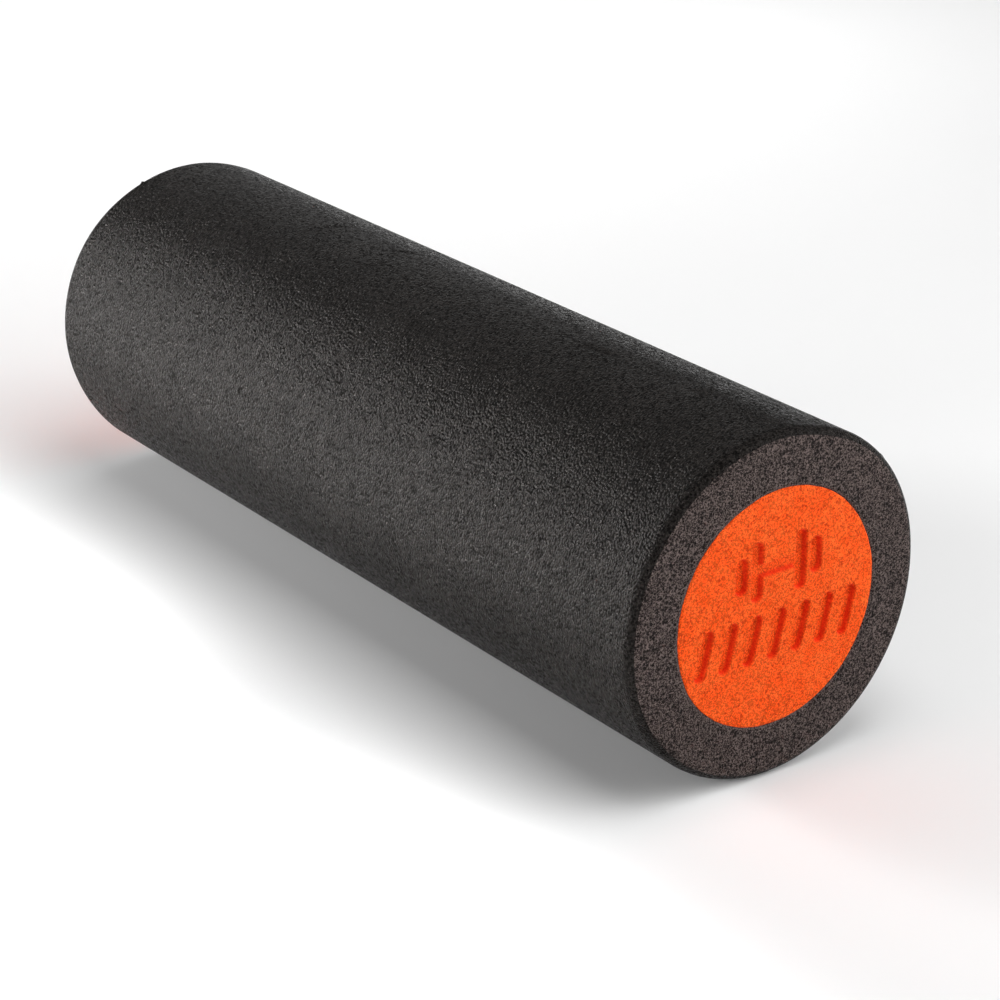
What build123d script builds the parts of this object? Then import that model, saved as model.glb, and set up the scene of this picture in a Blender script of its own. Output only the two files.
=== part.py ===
from build123d import *
from math import cos, radians, sin, sqrt
import os

# Foam exercise roller, lying on its side.
# Frame: +Z up, the roller's axis along X, the marked end at +X.
# The origin is on the floor, under the middle of the roller.

# Driving dimensions, in millimetres and degrees
roller_diameter = 150.0
roller_length = 450.0
rim_radius = 5.0  # round-over of the sleeve's two outer rims

core_diameter = 102.0
weld_gap = 0.0  # the core is heat-welded into the bore, so nothing is left between them

# The mark, pressed into the core's +X end
mark_depth = 2.5
mark_margin = 5.0  # plain foam left between the mark and the core's edge
mark_spacing = 6.5  # plain foam left between the row of bars and the dumbbell above it

# Lower half of the mark: a row of slanted bars, as wide as the margin allows
bar_count = 7
bar_width = 5.0
bar_length = 21.0
bar_slant = 14.0  # lean of each bar from upright
row_height = -11.0  # middle of the row, measured up from the core's axis

# Upper half of the mark: a dumbbell, drawn as one handle and four weight plates
plate_width = 5.5
plate_gap = 2.6  # foam left standing between two neighbouring plates
handle_length = 17.0  # clear handle between the two inner plates
handle_width = 5.0
inner_plate_length = 25.0
outer_plate_length = 15.0

# Derived places
roller_radius = roller_diameter / 2
bore_radius = core_diameter / 2 + weld_gap
axis_height = roller_radius
half_length = roller_length / 2

# Each bar's round ends are centred this far across and up from the bar's middle
bar_reach = (bar_length - bar_width) / 2
bar_reach_across = bar_reach * sin(radians(bar_slant))
bar_reach_up = bar_reach * cos(radians(bar_slant))

# The row spreads until its lowest corner stands at the margin
end_circle = core_diameter / 2 - mark_margin - bar_width / 2
lowest_end = bar_reach_up - row_height
half_row = sqrt(end_circle**2 - lowest_end**2) - bar_reach_across
bar_pitch = 2 * half_row / (bar_count - 1)

# The dumbbell stands over the row
row_top = row_height + bar_reach_up + bar_width / 2
dumbbell_height = row_top + mark_spacing + inner_plate_length / 2
inner_plate_offset = handle_length / 2 + plate_width / 2
outer_plate_offset = inner_plate_offset + plate_width + plate_gap

# Both pieces are drawn on the sawn end face at -X and extruded towards +X
plain_end = Plane(origin=(-half_length, 0, axis_height), x_dir=(0, 1, 0), z_dir=(1, 0, 0))
# The mark's plane: its x runs to the reader's right and its y runs up
marked_end = plain_end.offset(roller_length)

# Outer sleeve: a thick foam tube with its two outer rims rounded over
with BuildPart() as outer_sleeve:
    with BuildSketch(plain_end):
        Circle(roller_radius)
        Circle(bore_radius, mode=Mode.SUBTRACT)
    extrude(amount=roller_length)
    outer_rims = outer_sleeve.edges().filter_by(GeomType.CIRCLE).group_by(SortBy.RADIUS)[-1]
    fillet(outer_rims, radius=rim_radius)

# Inner core: a solid foam rod, flush with the sleeve at both ends
with BuildPart() as inner_core:
    with BuildSketch(plain_end):
        Circle(core_diameter / 2)
    extrude(amount=roller_length)

    # The row of bars, pressed into the end
    with BuildSketch(marked_end):
        with Locations((0, row_height)):
            with GridLocations(bar_pitch, 0, bar_count, 1):
                SlotOverall(bar_length, bar_width, rotation=90 - bar_slant)
    extrude(amount=-mark_depth, mode=Mode.SUBTRACT)

    # The dumbbell above it
    with BuildSketch(marked_end):
        with Locations((0, dumbbell_height)):
            Rectangle(handle_length + plate_width, handle_width)
            with GridLocations(2 * inner_plate_offset, 0, 2, 1):
                SlotOverall(inner_plate_length, plate_width, rotation=90)
            with GridLocations(2 * outer_plate_offset, 0, 2, 1):
                SlotOverall(outer_plate_length, plate_width, rotation=90)
    extrude(amount=-mark_depth, mode=Mode.SUBTRACT)

outer_sleeve.part.label = "outer_sleeve"
inner_core.part.label = "inner_core"

os.makedirs("parts", exist_ok=True)
export_step(outer_sleeve.part, "parts/outer_sleeve.step")
export_step(inner_core.part, "parts/inner_core.step")

print("bar pitch", round(bar_pitch, 3), "mm, dumbbell height", round(dumbbell_height, 3), "mm")
for piece in (outer_sleeve.part, inner_core.part):
    box = piece.bounding_box()
    print(piece.label, "volume", round(piece.volume), "mm3, box", box.min, box.max)
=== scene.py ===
# %% [markdown]
# # A two-colour foam roller
#
# The roller is two pieces of closed-cell polyethylene foam: a thick black tube, and an orange rod welded
# into its bore. The black tube keeps the skin it was extruded with, and both ends are sawn, so one object
# shows foam in three states: skin, cut cells, and cells melted together under a hot stamp. The shape is
# almost a cylinder. What makes it foam is in the small things, so most of this lesson is about those.
#
# We start by loading the measured model as a frame. Everything is in metres, +Z is up, the roller's axis
# runs along X and the stamped end is at +X.

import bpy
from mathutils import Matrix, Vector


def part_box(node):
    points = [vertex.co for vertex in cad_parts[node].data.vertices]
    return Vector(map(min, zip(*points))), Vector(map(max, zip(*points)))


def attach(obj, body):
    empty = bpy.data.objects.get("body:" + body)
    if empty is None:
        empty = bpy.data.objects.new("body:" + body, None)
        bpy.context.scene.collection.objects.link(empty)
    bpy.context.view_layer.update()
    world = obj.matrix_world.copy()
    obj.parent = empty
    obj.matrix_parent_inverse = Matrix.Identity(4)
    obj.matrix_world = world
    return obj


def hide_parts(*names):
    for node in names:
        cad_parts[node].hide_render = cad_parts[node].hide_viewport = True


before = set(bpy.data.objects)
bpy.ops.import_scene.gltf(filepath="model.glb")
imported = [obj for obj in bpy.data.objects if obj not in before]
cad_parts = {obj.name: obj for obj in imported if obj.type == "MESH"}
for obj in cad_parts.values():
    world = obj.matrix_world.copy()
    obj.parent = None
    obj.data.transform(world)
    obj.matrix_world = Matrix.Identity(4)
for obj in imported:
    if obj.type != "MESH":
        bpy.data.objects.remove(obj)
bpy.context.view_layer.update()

# %% The roller's sizes, read from the frame
from functools import reduce
from math import atan2, cos, hypot, pi, radians, sin, sqrt

import bmesh
import bpy
import numpy as np
from mathutils import Vector

MM = 0.001

sleeve_low, sleeve_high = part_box("outer_sleeve")
core_low, core_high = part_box("inner_core")
roller_radius = (sleeve_high.z - sleeve_low.z) / 2
half_length = (sleeve_high.x - sleeve_low.x) / 2
core_radius = (core_high.z - core_low.z) / 2
axis_height = (sleeve_high.z + sleeve_low.z) / 2
foam_wall = roller_radius - core_radius
rim_radius = 5 * MM

print("roller across", round(2 * roller_radius / MM, 1), "mm, long", round(2 * half_length / MM, 1), "mm")
print("core radius", round(core_radius / MM, 2), "mm")

# %% [markdown]
# ## Small helpers
#
# Node materials take many near-identical lines, so one function adds a node, sets its options and fills
# or links its inputs. The others wrap the arithmetic that the foams' patterns need.

# %% Node helpers
def add_node(tree, kind, *inputs, **settings):
    """Adds a node; inputs fill its sockets in order, a socket is linked and a plain value is set."""
    made = tree.nodes.new(kind)
    for name, value in settings.items():
        setattr(made, name, value)
    fill_sockets(tree, [socket for socket in made.inputs if socket.enabled], inputs)
    return made


def fill_sockets(tree, sockets, values):
    for socket, value in zip(sockets, values):
        if isinstance(value, bpy.types.NodeSocket):
            tree.links.new(value, socket)
        elif value is not None:
            socket.default_value = value


def maths(tree, operation, *inputs, clamp=False):
    return add_node(tree, "ShaderNodeMath", *inputs, operation=operation, use_clamp=clamp).outputs[0]


def product(tree, *factors):
    return reduce(lambda so_far, factor: maths(tree, "MULTIPLY", so_far, factor), factors)


def inverse(tree, value):
    return maths(tree, "SUBTRACT", 1, value)


def ramp(tree, value, from_low, from_high, to_low=0.0, to_high=1.0):
    """Maps a range of value onto another, with a smooth start and end."""
    limits = (from_low, from_high, to_low, to_high)
    made = add_node(tree, "ShaderNodeMapRange", value, *limits, interpolation_type="SMOOTHSTEP")
    return made.outputs[0]


def blend_colours(tree, share, first, second, blend_type="MIX"):
    made = add_node(tree, "ShaderNodeMix", data_type="RGBA", blend_type=blend_type)
    colour_sockets = (made.inputs[0], made.inputs[6], made.inputs[7])
    fill_sockets(tree, colour_sockets, (share, first, second))
    return made.outputs[2]


# %% [markdown]
# ## Patterns that the foams share
#
# Foam is made of cells, so two kinds of random pattern do nearly all the work. Noise gives soft clouds,
# for mottling and grain. A Voronoi texture gives cells with a middle and an edge, and a random colour for
# each, and that colour decides which cells are open pores and how wide they are. All patterns are sized
# in metres on the object's own coordinates, so they keep their real scale whatever the mesh is like.

# %% Materials, noise and cells
def new_material(name, roughness, specular, tint=(1, 1, 1, 1)):
    """A material with its shader's plain sockets set, and the place to draw its patterns on."""
    material = bpy.data.materials.new(name)
    material.use_nodes = True
    tree = material.node_tree
    shader = tree.nodes["Principled BSDF"]
    shader.inputs["Roughness"].default_value = roughness
    shader.inputs["Specular IOR Level"].default_value = specular
    shader.inputs["Specular Tint"].default_value = tint
    place = tree.nodes.new("ShaderNodeTexCoord").outputs["Object"]
    return material, tree, shader, place


def noise_of(tree, place, size, detail=2.0, roughness=0.5):
    """Cloudy noise from 0 to 1 with blobs of about size metres."""
    made = add_node(tree, "ShaderNodeTexNoise", noise_dimensions="3D")
    tree.links.new(place, made.inputs["Vector"])
    made.inputs["Scale"].default_value = 1 / size
    made.inputs["Detail"].default_value = detail
    made.inputs["Roughness"].default_value = roughness
    return made.outputs[0]


def spread(tree, noise, low=0.0, high=1.0):
    """Noise keeps mostly between 0.3 and 0.7; this stretches that part to run from low to high."""
    return ramp(tree, noise, 0.3, 0.7, low, high)


def cells_of(tree, sheet, size):
    """Foam cells of about size metres on a flat sheet.

    Gives the distance to a cell's middle, in cells, and each cell's random colour.
    """
    made = add_node(tree, "ShaderNodeTexVoronoi", voronoi_dimensions="2D", feature="F1")
    tree.links.new(sheet, made.inputs["Vector"])
    made.inputs["Scale"].default_value = 1 / size
    return made.outputs["Distance"], made.outputs["Color"]


def pores_of(tree, sheet, cell, largest, share):
    """Scattered round pores, 1 inside and 0 outside.

    largest is the widest pore's radius in cells, and share says how many cells have a pore.
    """
    pore_edge_outside, pore_edge_inside = 1.1, 0.8
    distance, colour = cells_of(tree, sheet, cell)
    luck = add_node(tree, "ShaderNodeSeparateColor", colour).outputs[0]
    reach = ramp(tree, luck, 1 - share, 1, 0, largest)
    ratio = maths(tree, "DIVIDE", distance, maths(tree, "MAXIMUM", reach, 0.0001))
    return ramp(tree, ratio, pore_edge_outside, pore_edge_inside)


# %% Laying the patterns out, and turning them into bumps
def end_sheet(tree, place):
    """The end face as a flat sheet: across and up."""
    parts = add_node(tree, "ShaderNodeSeparateXYZ", place)
    return add_node(tree, "ShaderNodeCombineXYZ", parts.outputs[1], parts.outputs[2]).outputs[0]


def from_axis_of(tree, place):
    """Distance from the roller's axis, with the place's three parts and its height over the axis."""
    parts = add_node(tree, "ShaderNodeSeparateXYZ", place)
    up = maths(tree, "SUBTRACT", parts.outputs[2], axis_height)
    squares = maths(tree, "ADD", maths(tree, "POWER", parts.outputs[1], 2), maths(tree, "POWER", up, 2))
    return maths(tree, "SQRT", squares), parts, up


def skin_sheet(tree, place, stretch):
    """The skin unrolled: along the roller and down over its rims, and round it.

    A stretch above 1 shrinks the pattern lengthwise.
    """
    distance, parts, up = from_axis_of(tree, place)
    past_rim = maths(tree, "SUBTRACT", roller_radius, distance)
    which_end = maths(tree, "SIGN", parts.outputs[0])
    along = maths(tree, "ADD", parts.outputs[0], maths(tree, "MULTIPLY", past_rim, which_end))
    around = maths(tree, "MULTIPLY", maths(tree, "ARCTAN2", parts.outputs[1], up), roller_radius)
    along = maths(tree, "MULTIPLY", along, stretch)
    return add_node(tree, "ShaderNodeCombineXYZ", along, around).outputs[0]


def bumped(tree, shader, *layers):
    """Stacks bumps on the shader: each layer is a height from 0 to 1 and its full depth in metres."""
    normal = None
    for height, depth in layers:
        made = add_node(tree, "ShaderNodeBump")
        made.inputs["Strength"].default_value = 1
        made.inputs["Distance"].default_value = depth
        tree.links.new(height, made.inputs["Height"])
        if normal is not None:
            tree.links.new(normal, made.inputs["Normal"])
        normal = made.outputs["Normal"]
    tree.links.new(normal, shader.inputs["Normal"])


def describe(material):
    print(material.name, "has", len(material.node_tree.nodes), "nodes")


# %% [markdown]
# ## Black foam, skin side
#
# Extruded foam leaves the die with a closed skin over its outermost cells. Each cell shows as a low
# pebble of about a millimetre, some have burst and left a pit, and a few are shiny where the skin is
# smooth and tight. Sculpting some two hundred thousand pebbles would make a very heavy mesh for something
# that never shows in the outline, so they are a bump. The cells are laid on the skin as if it were
# unrolled flat: on a solid pattern they would come out cut at every angle, like wood, and not as round
# pebbles.

# %% The skin of the sleeve
def black_skin():
    material, tree, shader, place = new_material(
        "black_foam_skin", roughness=0.5, specular=0.095, tint=(1.0, 0.88, 0.81, 1)
    )
    sheet = skin_sheet(tree, place, stretch=1.1)
    distance, cell_colour = cells_of(tree, sheet, size=1.1 * MM)
    pebble = maths(tree, "SUBTRACT", 1, maths(tree, "POWER", distance, 2), clamp=True)
    pulled = add_node(tree, "ShaderNodeVectorMath", place, (1.1, 1.0, 1.0), operation="MULTIPLY").outputs[0]
    clump = noise_of(tree, pulled, size=3.2 * MM, detail=2)
    grain = noise_of(tree, pulled, size=1.15 * MM, detail=1)
    waves = noise_of(tree, place, size=12 * MM, detail=1)
    pits = pores_of(tree, sheet, cell=1.6 * MM, largest=0.5, share=0.6)
    bumped(
        tree,
        shader,
        (waves, 0.4 * MM),
        (clump, 0.3 * MM),
        (pebble, 0.55 * MM),
        (grain, 0.1 * MM),
        (inverse(tree, pits), 0.6 * MM),
    )

    cloud = noise_of(tree, place, size=30 * MM, detail=3, roughness=0.6)
    cloud_shade = spread(tree, cloud, 0.8, 1.2)
    grain_shade = spread(tree, grain, 0.0, 2.4)
    # The pits are darkened in colour: painted shade inside the burst cells.
    painted_pit_shade = ramp(tree, pits, 0, 1, 1, 0.1)
    shade = product(tree, cloud_shade, grain_shade, painted_pit_shade)
    colour = blend_colours(tree, 1.0, (0.0085, 0.0074, 0.0068, 1), shade, "MULTIPLY")
    tree.links.new(colour, shader.inputs["Base Color"])

    facet = add_node(tree, "ShaderNodeSeparateColor", cell_colour).outputs[1]
    facet_roughness = ramp(tree, facet, 0, 1, 0.22, 0.52)
    rough = maths(tree, "ADD", facet_roughness, maths(tree, "MULTIPLY", pits, 0.35), clamp=True)
    tree.links.new(rough, shader.inputs["Roughness"])
    return material


skin = black_skin()
describe(skin)

# %% [markdown]
# ## Black foam, sawn side
#
# The blade opens every cell it meets, so an end is matt and full of small round holes. They are all
# sizes: a fine grain of little ones with larger pores between. Right round the core the foam was melted
# when the two were welded, and that ring has no open pores. Cutting real holes would again be far too
# many faces; pores drawn in the material look the same at arm's length. A bump presses them in, and the
# shade inside each hole is painted into the colour as a dark spot.

# %% The sawn ends of the sleeve
def black_sawn():
    material, tree, shader, place = new_material(
        "black_foam_sawn", roughness=0.6, specular=0.1, tint=(1.0, 0.84, 0.8, 1)
    )
    sheet = end_sheet(tree, place)
    large = pores_of(tree, sheet, cell=1.5 * MM, largest=0.55, share=0.4)
    small = pores_of(tree, sheet, cell=0.6 * MM, largest=0.62, share=0.75)
    pores = maths(tree, "MAXIMUM", product(tree, large, 0.85), product(tree, small, 0.85))
    from_core = from_axis_of(tree, place)[0]
    open_foam = ramp(tree, from_core, core_radius + 0.5 * MM, core_radius + 1.4 * MM)
    pores = product(tree, pores, open_foam)
    grain = noise_of(tree, place, size=0.7 * MM, detail=1)
    mottle = noise_of(tree, place, size=4.5 * MM, detail=3, roughness=0.6)
    bumped(tree, shader, (mottle, 0.5 * MM), (grain, 0.5 * MM), (inverse(tree, pores), 1.0 * MM))

    mottle_shade = spread(tree, mottle, 0.85, 1.15)
    grain_shade = spread(tree, grain, 0.1, 2.2)
    # The pores are darkened in colour: painted shade inside the open cells.
    painted_pore_shade = ramp(tree, pores, 0, 1, 1, 0.05)
    shade = product(tree, mottle_shade, grain_shade, painted_pore_shade)
    colour = blend_colours(tree, 1.0, (0.068, 0.052, 0.048, 1), shade, "MULTIPLY")
    tree.links.new(colour, shader.inputs["Base Color"])
    return material


sawn = black_sawn()
describe(sawn)

# %% [markdown]
# ## Orange foam
#
# The core's foam has finer cells than the sleeve's. Its pores show as darker orange dots rather than
# black ones, because light passes through the thin walls; their darker orange is painted shade inside
# the pores. Where the hot stamp pressed, the cells have melted together into a denser, redder and
# slightly glossier film. On the grooves' walls that darker red is partly the film and partly painted
# shade in the grooves. A second material would change over too sharply there, so the mesh carries a
# number at each point, and one material fades from foam to film and painted shade by it.

# %% The orange core
def orange_foam():
    material, tree, shader, place = new_material(
        "orange_foam", roughness=0.7, specular=0.1, tint=(1.0, 0.45, 0.2, 1)
    )
    sheet = end_sheet(tree, place)
    fine = pores_of(tree, sheet, cell=0.7 * MM, largest=0.6, share=0.6)
    larger = pores_of(tree, sheet, cell=1.4 * MM, largest=0.45, share=0.28)
    grain = noise_of(tree, place, size=0.7 * MM, detail=1)
    mottle = noise_of(tree, place, size=6 * MM, detail=3, roughness=0.6)
    pores = maths(tree, "MAXIMUM", product(tree, larger, 0.85), product(tree, fine, 0.55))
    melt_and_shade = add_node(tree, "ShaderNodeAttribute", attribute_name="melt_and_shade").outputs["Fac"]
    open_foam = inverse(tree, product(tree, melt_and_shade, 0.85))
    pores = product(tree, pores, open_foam)
    bumped(tree, shader, (mottle, 0.25 * MM), (grain, 0.2 * MM), (inverse(tree, pores), 0.4 * MM))

    redder, yellower = (0.86, 0.085, 0.010, 1), (0.88, 0.115, 0.018, 1)
    pore_shade_colour, film_and_shade_colour = (0.5, 0.025, 0.003, 1), (0.76, 0.016, 0.005, 1)
    warm = blend_colours(tree, spread(tree, mottle), redder, yellower)
    warm = blend_colours(tree, 1.0, warm, spread(tree, grain, 0.65, 1.35), "MULTIPLY")
    # The pores' darker orange is painted shade inside them.
    dots = blend_colours(tree, product(tree, pores, 0.9), warm, pore_shade_colour)
    # On the grooves' walls the darker red is partly melted film and partly painted shade.
    pressed_and_shaded = blend_colours(tree, product(tree, melt_and_shade, 0.8), dots, film_and_shade_colour)
    tree.links.new(pressed_and_shaded, shader.inputs["Base Color"])
    tree.links.new(ramp(tree, melt_and_shade, 0, 1, 0.72, 0.5), shader.inputs["Roughness"])
    return material


orange = orange_foam()
describe(orange)

# %% [markdown]
# ## The uneven shape
#
# Foam is cut and welded soft, so the roller is out of round by a fraction of a millimetre, flat where it
# rests, and marked by fingers and shipping. A moulded shape would be perfect; a foam one never is. A
# sculpting brush could add such faults by hand, but they have to agree on two pieces, so we describe them
# once, as functions of where a point is.
#
# An angle is measured round the axis from the top, positive towards +Y.

# %% Out of round
def bell(distance, width):
    """A smooth hump, 1 in the middle and near 0 past twice its width."""
    return np.exp(-((distance / width) ** 2))


def turned(angle, middle):
    """The angle from middle, in degrees, wrapped to -180 to 180."""
    return (angle - middle + 180) % 360 - 180


# Each hump or hollow: its angle, its width in degrees, and its height in millimetres
stamped_end_lobes = [(62, 28, 0.75), (17, 13, -0.85), (-140, 24, -0.5)]
plain_end_lobes = [(-50, 22, 0.9), (-117, 22, -0.9), (20, 20, -0.6)]


def lobes_at(lobes, angle):
    return sum(height * bell(turned(angle, middle), width) for middle, width, height in lobes)


def out_of_round(x, angle):
    """How far the outside stands off a true circle: one end's lobes fade into the other's."""
    at_stamped = lobes_at(stamped_end_lobes, angle)
    at_plain = lobes_at(plain_end_lobes, angle)
    along = 0.5 + 0.5 * x / half_length
    return (at_plain + (at_stamped - at_plain) * along) * MM


all_round = np.arange(-180.0, 180.0)
for end_name, end_x in (("stamped", half_length), ("plain", -half_length)):
    off_circle = out_of_round(end_x, all_round) / MM
    print(end_name, "end off round by", round(off_circle.min(), 2), "to", round(off_circle.max(), 2), "mm")

# %% Dents, creases and nibs in the skin
# Each: place along the roller and angle of its two ends, half width and depth in millimetres
creases = [
    ((-92, -8), (-90, 8), 2.0, 0.55),
    ((-51, -2), (-34, 13), 2.2, 0.5),
    ((101, -3.2), (129, -0.6), 2.4, 1.1),
    ((167, 1.0), (186, 0.2), 2.6, 0.6),
    ((-40, -55), (8, -55), 1.2, 0.25),
]
crease_bow = 0.09  # how far a crease bends aside, as a share of its length
ridge_height = 0.35  # the foam pushed up beside a crease, as a share of its depth
ridge_offset = 2.1  # and how far away it is, in half widths

# Each: place along the roller, angle, radius and height in millimetres
nibs = [(-221, -21.6, 0.8, 1.3), (220, 49, 0.9, 0.9), (-8, -70, 1.0, 0.5)]


def skin_marks(x, angle):
    """How far the skin stands out, with hollows negative, from its dents, creases and nibs."""
    across = roller_radius / MM * np.radians(angle)
    along = x / MM
    height = np.zeros(len(x))
    for (x0, a0), (x1, a1), half_width, depth in creases:
        start = np.array([x0, roller_radius / MM * radians(a0)])
        way = np.array([x1, roller_radius / MM * radians(a1)]) - start
        length = hypot(*way)
        way = way / length
        ahead = (along - start[0]) * way[0] + (across - start[1]) * way[1]
        aside = -(along - start[0]) * way[1] + (across - start[1]) * way[0]
        middle = (ahead / length - 0.5) * 2
        bow = aside - crease_bow * length * (1 - middle**2)
        fade = np.clip(1 - middle**2, 0, 1)
        ridge = ridge_height * bell(bow + ridge_offset * half_width, half_width)
        height -= depth * fade * (bell(bow, half_width) - ridge)
    for x0, a0, radius, tall in nibs:
        away = np.hypot(along - x0, across - roller_radius / MM * radians(a0))
        height += tall * bell(away, radius)
    return height * MM


print(len(creases), "creases and", len(nibs), "nibs in the skin")

# %% [markdown]
# ## The sleeve
#
# A tube could be a cylinder with a hole, but a spun rectangle gives clean quads and a bore in one step.
# Its two outer rims are then bevelled round, and the flank and the ends are cut into cells small enough
# for the dents to show.

# %% Spin, bevel and cut up the sleeve
steps_round = 320
steps_along = 225
steps_across_end = 12
steps_over_rim = 7
same_place = 1e-6


def from_axis(vertex):
    return hypot(vertex.co.y, vertex.co.z - axis_height)


def is_outer(vertex):
    return from_axis(vertex) > (roller_radius + core_radius) / 2


def length_along(edge):
    return abs(edge.verts[0].co.x - edge.verts[1].co.x)


def length_outwards(edge):
    return abs(from_axis(edge.verts[0]) - from_axis(edge.verts[1]))


def sleeve_mesh():
    bm = bmesh.new()
    corners = [
        (half_length, core_radius),
        (half_length, roller_radius),
        (-half_length, roller_radius),
        (-half_length, core_radius),
    ]
    ring = [bm.verts.new((x, 0, axis_height - radius)) for x, radius in corners]
    outline = [bm.edges.new((ring[i], ring[(i + 1) % 4])) for i in range(4)]
    bmesh.ops.spin(
        bm,
        geom=ring + outline,
        cent=(0, 0, axis_height),
        axis=(1, 0, 0),
        angle=2 * pi,
        steps=steps_round,
        use_merge=True,
    )
    bmesh.ops.remove_doubles(bm, verts=bm.verts, dist=same_place)

    outer = [edge for edge in bm.edges if all(map(is_outer, edge.verts))]
    rims = [edge for edge in outer if length_along(edge) < same_place]
    bmesh.ops.bevel(
        bm,
        geom=rims,
        offset=rim_radius,
        offset_type="OFFSET",
        segments=steps_over_rim,
        profile=0.5,
        affect="EDGES",
        material=-1,
    )

    outer = [edge for edge in bm.edges if all(map(is_outer, edge.verts))]
    lengthwise = [edge for edge in outer if length_along(edge) > half_length]
    bmesh.ops.subdivide_edges(bm, edges=lengthwise, cuts=steps_along - 1, use_grid_fill=True)
    radial = [edge for edge in bm.edges if length_outwards(edge) > 0.5 * foam_wall]
    bmesh.ops.subdivide_edges(bm, edges=radial, cuts=steps_across_end - 1, use_grid_fill=True)
    bmesh.ops.recalc_face_normals(bm, faces=bm.faces)
    return bm


sleeve_bm = sleeve_mesh()
print("sleeve has", len(sleeve_bm.verts), "vertices and", len(sleeve_bm.faces), "faces")

# %% [markdown]
# The sleeve has two finishes. Faces on the two sawn ends get the open-celled one and everything else the
# skin. Each face also gets a place on a flat sheet, its UV map: the flank is unrolled like a label, and
# the two ends lie beside it. Blender can unwrap by itself, but a label cut as given here keeps its one slit
# underneath, where the roller rests. The bore is never seen, so it gets a narrow strip.

# %% Finishes and the unrolled map of the sleeve
sheet_size = 0.612  # metres of foam that fit across the whole map
label_corner = 0.004
stamped_end_across, plain_end_across, ends_up = 0.077, 0.235, 0.533
bore_strip_across, bore_strip_width = 0.49, 0.09
bore_strip_up, bore_strip_height = 0.01, 0.44


def is_sawn(face):
    return all(abs(vertex.co.x) > half_length - 0.5 * MM for vertex in face.verts)


def angle_near(face_angle, y, z):
    """A corner's angle round the axis, on the same turn as its face, so that no face spans the slit."""
    return face_angle + (atan2(y, z) - face_angle + pi) % (2 * pi) - pi


def unroll_sleeve(bm):
    uv = bm.loops.layers.uv.new("OFBake")
    for face in bm.faces:
        middle = face.calc_center_median()
        radius = hypot(middle.y, middle.z - axis_height)
        face_angle = atan2(middle.y, middle.z - axis_height)
        sawn_face = is_sawn(face)
        face.material_index = 1 if sawn_face else 0
        face.smooth = True
        for loop in face.loops:
            x, y, z = loop.vert.co.x, loop.vert.co.y, loop.vert.co.z - axis_height
            angle = angle_near(face_angle, y, z)
            if sawn_face:
                across = (stamped_end_across if x > 0 else plain_end_across) + y
                up = ends_up + z
            elif radius < core_radius + 2 * MM:
                across = bore_strip_across + bore_strip_width * (angle + pi) / (2 * pi)
                up = bore_strip_up + bore_strip_height * (x + half_length) / (2 * half_length)
            else:
                past_rim = max(0.0, roller_radius - hypot(y, z)) * (1 if x > 0 else -1)
                across = label_corner + roller_radius * (angle + pi)
                up = label_corner + x + half_length + past_rim
            loop[uv].uv = (across / sheet_size, up / sheet_size)


unroll_sleeve(sleeve_bm)
print("sawn faces", sum(face.material_index for face in sleeve_bm.faces))

# %% [markdown]
# The faults are added to the finished mesh by moving its vertices. The out-of-round shape grows from
# nothing at the bore to full at the skin; the bore itself wavers by a quarter of a millimetre, and the
# core repeats the same wave. Right at the weld both pieces dip a little, which draws a thin dark line
# between them.

# %% Move the sleeve's vertices
bore_wave_height = 0.22 * MM
bore_ripples = ((5, 0.4), (9, 2.1), (16, 4.4), (27, 1.0), (41, 3.3))  # waves in a turn, and where they start
ripple_total = 1.2
saw_wave_height = 0.16 * MM
weld_groove = 0.35 * MM
resting_gap = 0.1 * MM
end_zone = 30 * MM
touching = 0.01 * MM


def bore_wave(y, z):
    """How far the weld line wanders from a true circle."""
    angles = np.arctan2(y, z)
    wander = sum(np.sin(angles * turns + phase) / turns**0.5 for turns, phase in bore_ripples)
    return bore_wave_height * wander / ripple_total


def sawn_wave(y, z):
    """How far the saw wandered from a flat cut."""
    return saw_wave_height * (np.sin(y / 0.019 + 0.6) + np.sin(z / 0.026 + y / 0.041 + 2.0))


def read_places(mesh):
    """All the vertices' x, y and z, with z measured from the roller's axis."""
    places = np.empty(len(mesh.vertices) * 3)
    mesh.vertices.foreach_get("co", places)
    x, y, z = places.reshape(-1, 3).T
    return x, y, z - axis_height


def write_places(mesh, x, y, z):
    mesh.vertices.foreach_set("co", np.stack((x, y, z), 1).ravel())
    mesh.update()


def shape_sleeve(mesh):
    x, y, z = read_places(mesh)
    radius = np.hypot(y, z)
    angle = np.degrees(np.arctan2(y, z))
    share = np.clip((radius - core_radius) / (roller_radius - core_radius), 0, 1)
    near_end = np.clip((np.abs(x) - half_length + end_zone) / end_zone, 0, 1)
    on_skin = np.clip((radius - roller_radius + rim_radius) / rim_radius, 0, 1)

    moved = radius + share * out_of_round(x, angle) + on_skin * skin_marks(x, angle)
    moved = moved + (1 - share) ** 4 * bore_wave(y, z)
    end_sign = np.sign(x)
    x = x + end_sign * near_end * sawn_wave(y, z)
    at_weld = (radius < core_radius + touching) & (near_end > 0.99)
    x = np.where(at_weld, x - end_sign * weld_groove, x)
    scale = moved / radius
    write_places(mesh, x, y * scale, np.maximum(z * scale + axis_height, resting_gap))
    pushed = (moved - radius) / MM
    print("foam moved in by", round(-pushed.min(), 2), "mm and out by", round(pushed.max(), 2), "mm at most")


# %% Build the sleeve
def finished_piece(name, bm, node, materials):
    mesh = bpy.data.meshes.new(name)
    bm.to_mesh(mesh)
    bm.free()
    for material in materials:
        mesh.materials.append(material)
    piece = bpy.data.objects.new(name, mesh)
    bpy.context.scene.collection.objects.link(piece)
    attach(piece, "root")
    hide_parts(node)
    print(name, len(mesh.polygons), "faces")
    return piece


sleeve = finished_piece("black_foam_sleeve", sleeve_bm, "outer_sleeve", [skin, sawn])
shape_sleeve(sleeve.data)

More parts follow.
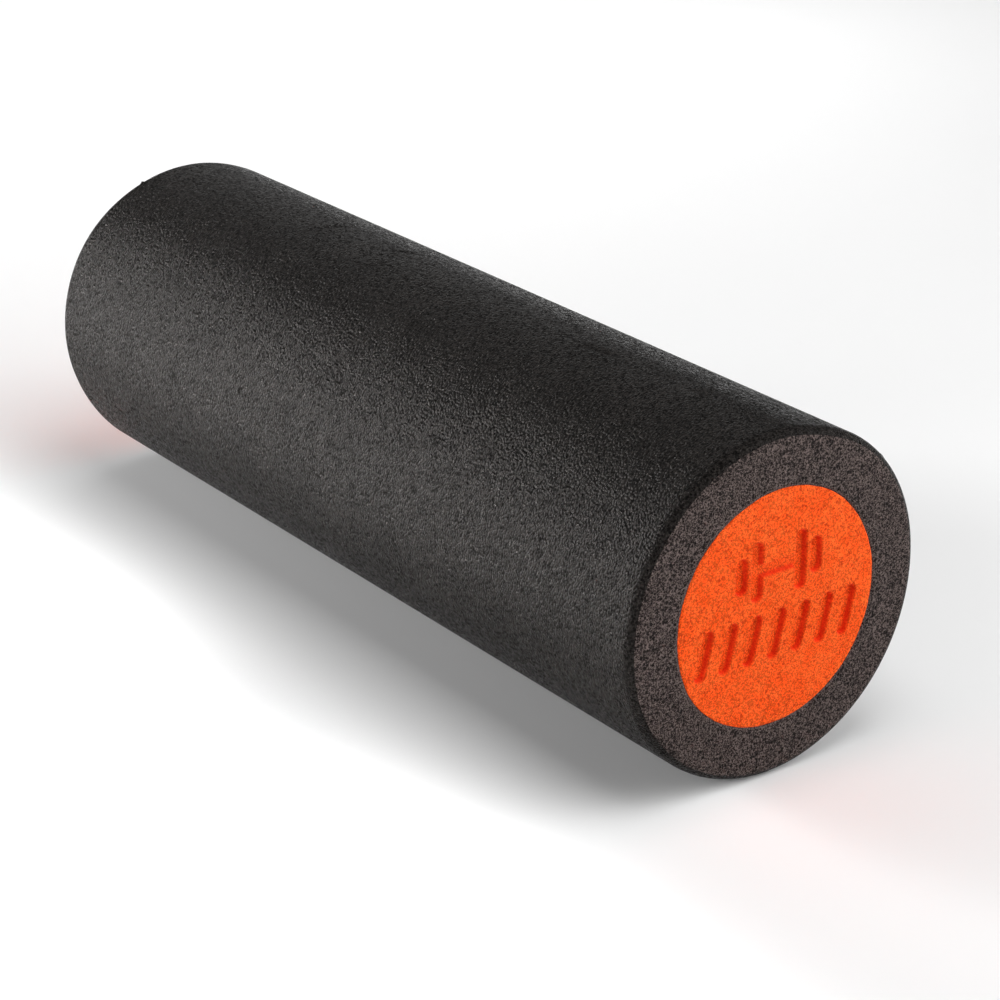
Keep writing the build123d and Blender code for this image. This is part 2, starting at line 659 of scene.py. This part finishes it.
# %% [markdown]
# ## The pressed mark
#
# A hot metal die leaves soft-edged grooves about 2.5 mm deep: a row of seven slanted bars with a dumbbell
# over them. Cutting them with a boolean would leave knife-sharp edges. Instead every stroke is a straight
# line with round ends, and one small function says how far a point is from the nearest stroke's edge.
# Depth then follows from that distance, with a sloping wall and a faint raised lip.

# %% The strokes of the mark
mark_depth = 2.5 * MM
mark_margin = 5 * MM
wall_width = 1.0 * MM
lip_height = 0.12 * MM
lip_width = 0.7 * MM

bar_count = 7
bar_width = 5 * MM
bar_length = 21 * MM
bar_slant = radians(14)
row_height = -11 * MM

plate_width = 5.5 * MM
plate_gap = 2.6 * MM
handle_length = 17 * MM
handle_width = 5 * MM
inner_plate_length = 25 * MM
outer_plate_length = 15 * MM
mark_spacing = 6.5 * MM


def bar_strokes(lean, rise):
    end_circle = core_radius - mark_margin - bar_width / 2
    half_row = sqrt(end_circle**2 - (rise - row_height) ** 2) - lean
    strokes = []
    for number in range(bar_count):
        middle = half_row * (2 * number / (bar_count - 1) - 1)
        foot, top = (middle - lean, row_height - rise), (middle + lean, row_height + rise)
        strokes.append((foot, top, bar_width / 2))
    return strokes


def dumbbell_strokes(level):
    strokes = [((-handle_length / 2, level), (handle_length / 2, level), handle_width / 2)]
    inner = handle_length / 2 + plate_width / 2
    outer = inner + plate_width + plate_gap
    for middle, length in ((inner, inner_plate_length), (outer, outer_plate_length)):
        reach = (length - plate_width) / 2
        for side in (-middle, middle):
            strokes.append(((side, level - reach), (side, level + reach), plate_width / 2))
    return strokes


def mark_strokes():
    """Each stroke as its two end points and its half width, on the end face: across and up."""
    reach = (bar_length - bar_width) / 2
    lean, rise = reach * sin(bar_slant), reach * cos(bar_slant)
    level = row_height + rise + bar_width / 2 + mark_spacing + inner_plate_length / 2
    return bar_strokes(lean, rise) + dumbbell_strokes(level)


strokes_of_mark = mark_strokes()
print("mark has", len(strokes_of_mark), "strokes")

# %% How far a point is from the mark
def distance_to_mark(across, up):
    """Distance from each point to the nearest stroke's edge, negative inside it."""
    nearest = np.full(len(across), 1.0)
    for start, end, half_width in strokes_of_mark:
        way = (end[0] - start[0], end[1] - start[1])
        share = ((across - start[0]) * way[0] + (up - start[1]) * way[1]) / (way[0] ** 2 + way[1] ** 2)
        share = np.clip(share, 0, 1)
        away = np.hypot(across - start[0] - share * way[0], up - start[1] - share * way[1]) - half_width
        nearest = np.minimum(nearest, away)
    return nearest


def smooth_step(value):
    value = np.clip(value, 0, 1)
    return value * value * (3 - 2 * value)


middle_to_groove = distance_to_mark(np.zeros(1), np.zeros(1))[0]
print("the core's middle is", round(middle_to_groove / MM, 2), "mm from a groove")

# %% [markdown]
# ## The core
#
# A disc made of rings would crowd its faces in the middle. A square grid pushed out to a circle keeps
# them even, which the soft grooves need. Both ends are such discs, their edges are bridged along the
# length of the roller, and the stamped end is cut twice as fine where the mark lies.

# %% Grid to disc, and the core's solid
cells_across = 110
fine_zone = core_radius - mark_margin + 2 * MM


def disc(bm, x):
    """A disc of even quads at x."""
    grid = bmesh.ops.create_grid(bm, x_segments=cells_across, y_segments=cells_across, size=1.0)
    for vertex in grid["verts"]:
        a, b = vertex.co.x, vertex.co.y
        across = a * sqrt(1 - b * b / 2) * core_radius
        up = b * sqrt(1 - a * a / 2) * core_radius
        vertex.co = (x, across, axis_height + up)


def core_mesh():
    bm = bmesh.new()
    disc(bm, half_length)
    disc(bm, -half_length)
    rim_edges = [edge for edge in bm.edges if edge.is_boundary]
    bmesh.ops.bridge_loops(bm, edges=rim_edges)
    stamped = [
        edge for edge in bm.edges
        if all(vertex.co.x > 0 and from_axis(vertex) < fine_zone for vertex in edge.verts)
    ]
    bmesh.ops.subdivide_edges(bm, edges=stamped, cuts=1, use_grid_fill=True)
    bmesh.ops.recalc_face_normals(bm, faces=bm.faces)
    return bm


core_bm = core_mesh()
print("core has", len(core_bm.verts), "vertices and", len(core_bm.faces), "faces")

# %% The unrolled map of the core
stamped_middle, stamped_reach = 0.335, 0.325
plain_middle, plain_reach = (0.83, 0.2), 0.16
flank_corner, flank_size = (0.01, 0.7), (0.97, 0.28)


def unroll_core(bm):
    """The stamped end fills most of the map, because it is the one with detail."""
    uv = bm.loops.layers.uv.new("OFBake")
    for face in bm.faces:
        face.smooth = True
        middle = face.calc_center_median()
        face_angle = atan2(middle.y, middle.z - axis_height)
        for loop in face.loops:
            x, y, z = loop.vert.co.x, loop.vert.co.y, loop.vert.co.z - axis_height
            if middle.x > half_length - touching:
                across = stamped_middle + stamped_reach * y / core_radius
                up = stamped_middle + stamped_reach * z / core_radius
            elif middle.x < -half_length + touching:
                across = plain_middle[0] + plain_reach * y / core_radius
                up = plain_middle[1] + plain_reach * z / core_radius
            else:
                angle = angle_near(face_angle, y, z)
                across = flank_corner[0] + flank_size[0] * (angle + pi) / (2 * pi)
                up = flank_corner[1] + flank_size[1] * (x + half_length) / (2 * half_length)
            loop[uv].uv = (across, up)


unroll_core(core_bm)
print("stamped end covers", round(pi * stamped_reach**2 * 100), "% of the core's map")

# %% Press the mark, and build the core
weld_clearance = 0.05 * MM
film_and_shade_at_edge, film_and_shade_width = 0.1 * MM, 0.5 * MM
film_in_groove = 0.12


def shape_core(mesh):
    x, y, z = read_places(mesh)
    radius = np.hypot(y, z)
    end_sign = np.sign(x)
    stamped = x > half_length - touching
    away = distance_to_mark(y, z)
    sunk = smooth_step(0.5 - away / wall_width) * stamped
    lip = bell(away - wall_width, lip_width) * stamped

    x = x + end_sign * sawn_wave(y, z) - mark_depth * sunk + lip_height * lip
    edge = radius > core_radius - touching
    x = np.where(edge, x - end_sign * weld_groove, x)
    scale = 1 + (radius / core_radius) ** 8 * (bore_wave(y, z) - weld_clearance) / core_radius
    write_places(mesh, x, y * scale, z * scale + axis_height)

    # The band along the grooves' walls marks melted film, and also painted shade in the grooves.
    edge_film_and_shade = bell(away + film_and_shade_at_edge, film_and_shade_width)
    melt_and_shade = mesh.attributes.new("melt_and_shade", "FLOAT", "POINT")
    melt_and_shade_amount = np.maximum(edge_film_and_shade * stamped, film_in_groove * sunk)
    melt_and_shade.data.foreach_set("value", melt_and_shade_amount.astype(np.float32))
    print("mark sinks", round((x[stamped].max() - x[stamped].min()) / MM, 2), "mm from its lip")


core = finished_piece("orange_foam_core", core_bm, "inner_core", [orange])
shape_core(core.data)

# %% [markdown]
# ## Floor
#
# The roller rests on a plain matt floor. A plane is enough, because nothing of it shows but its tone:
# very slow noise keeps it from being one flat colour.

# %% Floor
def white_floor():
    material, tree, shader, place = new_material("floor_white", roughness=0.9, specular=0.2)
    cloud = noise_of(tree, place, size=0.5, detail=2)
    colour = blend_colours(tree, cloud, (0.86, 0.86, 0.86, 1), (0.9, 0.9, 0.9, 1))
    tree.links.new(colour, shader.inputs["Base Color"])
    return material


bpy.ops.mesh.primitive_plane_add(size=16)
floor = bpy.context.object
floor.name = "floor"
floor.data.materials.append(white_floor())
print("floor", round(floor.dimensions.x), "m square")

# %% [markdown]
# ## Light
#
# Black foam shows its shape only by what it reflects, so each lamp is there for one part of the roller. A
# strong one stands low on the left and rakes along the skin: it picks out the pebbles, and above its band
# the skin turns dark because it faces no lamp. Lamps to the right of the stamped end, and one over it,
# light the sawn faces at a slant, which draws the grooves and pores. Weaker ones behind give the top of
# the roller a soft grey edge. One picture of a studio wrapped round the scene could do all this, but
# lamps can be set one at a time.

# %% Lamps round the roller
def hang_lamp(name, size, power):
    """A square lamp that lights the scene but isn't seen itself."""
    lamp = bpy.data.lights.new(name, "AREA")
    lamp.energy = power
    lamp.size = size
    holder = bpy.data.objects.new(name, lamp)
    bpy.context.scene.collection.objects.link(holder)
    holder.visible_camera = False
    return holder


def face_from(holder, azimuth, elevation, distance, aim):
    """Puts a lamp or camera at a distance from aim, facing it. Azimuth 0 is at -Y and 90 at +X."""
    turn, lift = radians(azimuth), radians(elevation)
    back = Vector((sin(turn) * cos(lift), -cos(turn) * cos(lift), sin(lift)))
    holder.location = aim + back * distance
    holder.rotation_mode = "QUATERNION"
    holder.rotation_quaternion = back.to_track_quat("Z", "Y")


roller_middle = Vector((0, 0, axis_height))
# Name, azimuth and elevation in degrees, distance and size in metres, power in watts
roller_lamps = [
    ("left_low_light", 300, 9, 2.1, 0.6, 48.0),
    ("left_high_light", 300, 20, 2.1, 0.6, 1.4),
    ("left_near_light", 325, 9, 1.05, 0.3, 2.6),
    ("stamped_end_light", 120, 30, 1.8, 1.4, 3.7),
    ("stamped_end_near_light", 120, 20, 1.05, 0.7, 4.3),
    ("stamped_end_top_light", 90, 70, 1.05, 0.7, 5.2),
    ("right_back_light", 150, 30, 1.8, 1.4, 5.0),
    ("right_back_near_light", 150, 20, 1.05, 0.7, 2.0),
    ("back_light", 180, 30, 1.8, 1.4, 1.0),
    ("far_left_light", 240, 20, 1.05, 0.7, 0.75),
]
for name, azimuth, elevation, distance, size, power in roller_lamps:
    face_from(hang_lamp(name, size, power), azimuth, elevation, distance, roller_middle)
print(len(roller_lamps), "lamps round the roller,", round(sum(row[-1] for row in roller_lamps), 1), "W")

# %% [markdown]
# The floor should look white near the roller, but a lamp bright enough for that would also wash out the
# foam. So four more lamps hang over the floor and shine straight down. An area lamp's spread narrows its
# beam, and these stay on the floor beside the roller. The world gives a faint even light, and the
# Standard view transform shows colours as they are, where the usual one would dull the orange.

# %% Lamps over the floor, and the world
# Name, place and size in metres, width of the beam in degrees, power in watts
floor_lamps = [
    ("backdrop_light", (-1.1, 0.85, 1.2), 1.4, 80, 5.0),
    ("left_back_floor_light", (-0.25, -0.42, 1.0), 0.45, 16, 2.2),
    ("left_floor_light", (0.05, -0.42, 1.0), 0.45, 16, 1.6),
    ("left_front_floor_light", (0.35, -0.42, 1.0), 0.45, 16, 2.4),
]
for name, location, size, beam, power in floor_lamps:
    holder = hang_lamp(name, size, power)
    holder.location = location
    holder.data.spread = radians(beam)
print(len(floor_lamps), "lamps over the floor,", round(sum(row[-1] for row in floor_lamps), 1), "W")

world = bpy.data.worlds.new("studio")
world.use_nodes = True
background = world.node_tree.nodes["Background"]
background.inputs["Color"].default_value = (1, 1, 1, 1)
background.inputs["Strength"].default_value = 0.05
bpy.context.scene.world = world
bpy.context.scene.view_settings.view_transform = "Standard"

# %% [markdown]
# ## Camera
#
# The camera stands off the stamped end and looks down along the roller, so that both the face and the flank
# show. A long lens from more than a metre away keeps the far end nearly as large as the near one; a short
# lens close by would make the roller look like a cone.

# %% Camera
camera_data = bpy.data.cameras.new("camera")
camera_data.lens = 102.2
camera = bpy.data.objects.new("camera", camera_data)
bpy.context.scene.collection.objects.link(camera)
face_from(camera, azimuth=53.6, elevation=23.29, distance=1.263, aim=Vector((0.0406, 0, 0.0575)))
bpy.context.scene.camera = camera
print("camera at", [round(value, 3) for value in camera.location])
